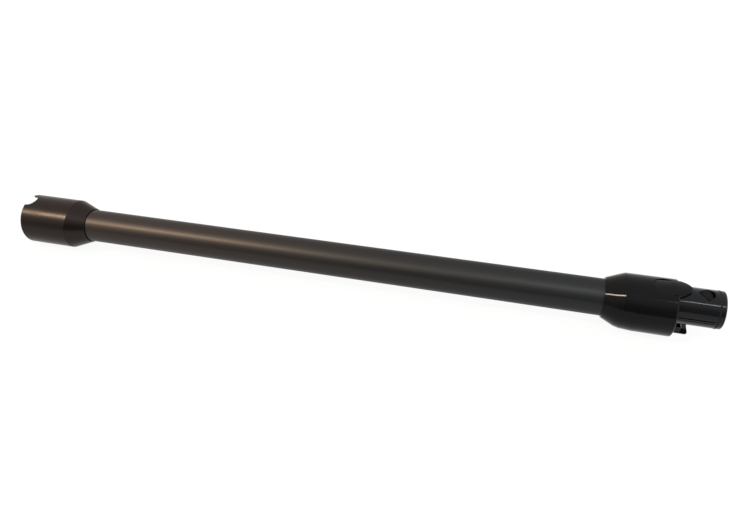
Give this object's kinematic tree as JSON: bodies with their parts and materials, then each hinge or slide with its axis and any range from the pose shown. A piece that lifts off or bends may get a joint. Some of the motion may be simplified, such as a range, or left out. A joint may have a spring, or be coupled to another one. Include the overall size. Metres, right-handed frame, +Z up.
{
  "type": "vacuum cleaner tube",
  "caption": "Straight dark vacuum cleaner tube with a notched socket cuff at one end and a latched spigot with a release button and electrical plug at the other.",
  "frame": {"origin": "under the middle of the tube's length, on the surface it lies on", "axes": "+X along the tube from the socket cuff to the spigot, +Z up through the release button"},
  "size_m": [0.7236, 0.0532, 0.0526],
  "materials": {
    "dark_anodised": "satin dark anodised, fine drawn grain along the tube",
    "satin_cuff": "satin dark metallic lacquer",
    "gloss_black": "polished black moulding",
    "spigot_black": "smooth black moulding",
    "button_black": "half-gloss black moulding",
    "inner_black": "moulded, matt",
    "seal_rubber": "matt rubber",
    "bright_steel": "bright",
    "contact_brass": "bright stamped brass",
    "wire_red": "soft insulation",
    "wire_black": "soft insulation"
  },
  "bodies": {
    "tube_body": {"main_tube": "dark_anodised", "cuff_shell": "satin_cuff", "socket_liner": "inner_black", "cuff_gasket": "seal_rubber", "cuff_screws": "bright_steel", "socket_contact_block": "inner_black", "socket_contacts": "contact_brass", "connector_shell": "gloss_black", "spigot_duct": "spigot_black", "shell_gasket": "seal_rubber", "shell_screws": "bright_steel", "spigot_seal": "seal_rubber", "latch_pin": "bright_steel", "latch_spring": "bright_steel", "plug_body": "spigot_black", "plug_contacts": "contact_brass", "wire_positive": "wire_red", "wire_negative": "wire_black"},
    "release": {"release_button": "button_black", "latch_lever": "inner_black"}
  },
  "joints": [
    {"name": "release_press", "type": "hinge", "parent": "tube_body", "child": "release", "pos_m": [0.29235, 0, 0.04548], "axis": [0, 1, 0], "range_deg": [0, 2.6], "stiffness_Nm_per_rad": 1.2, "springref_deg": -2.29, "deforming": ["latch_spring"]}
  ]
}
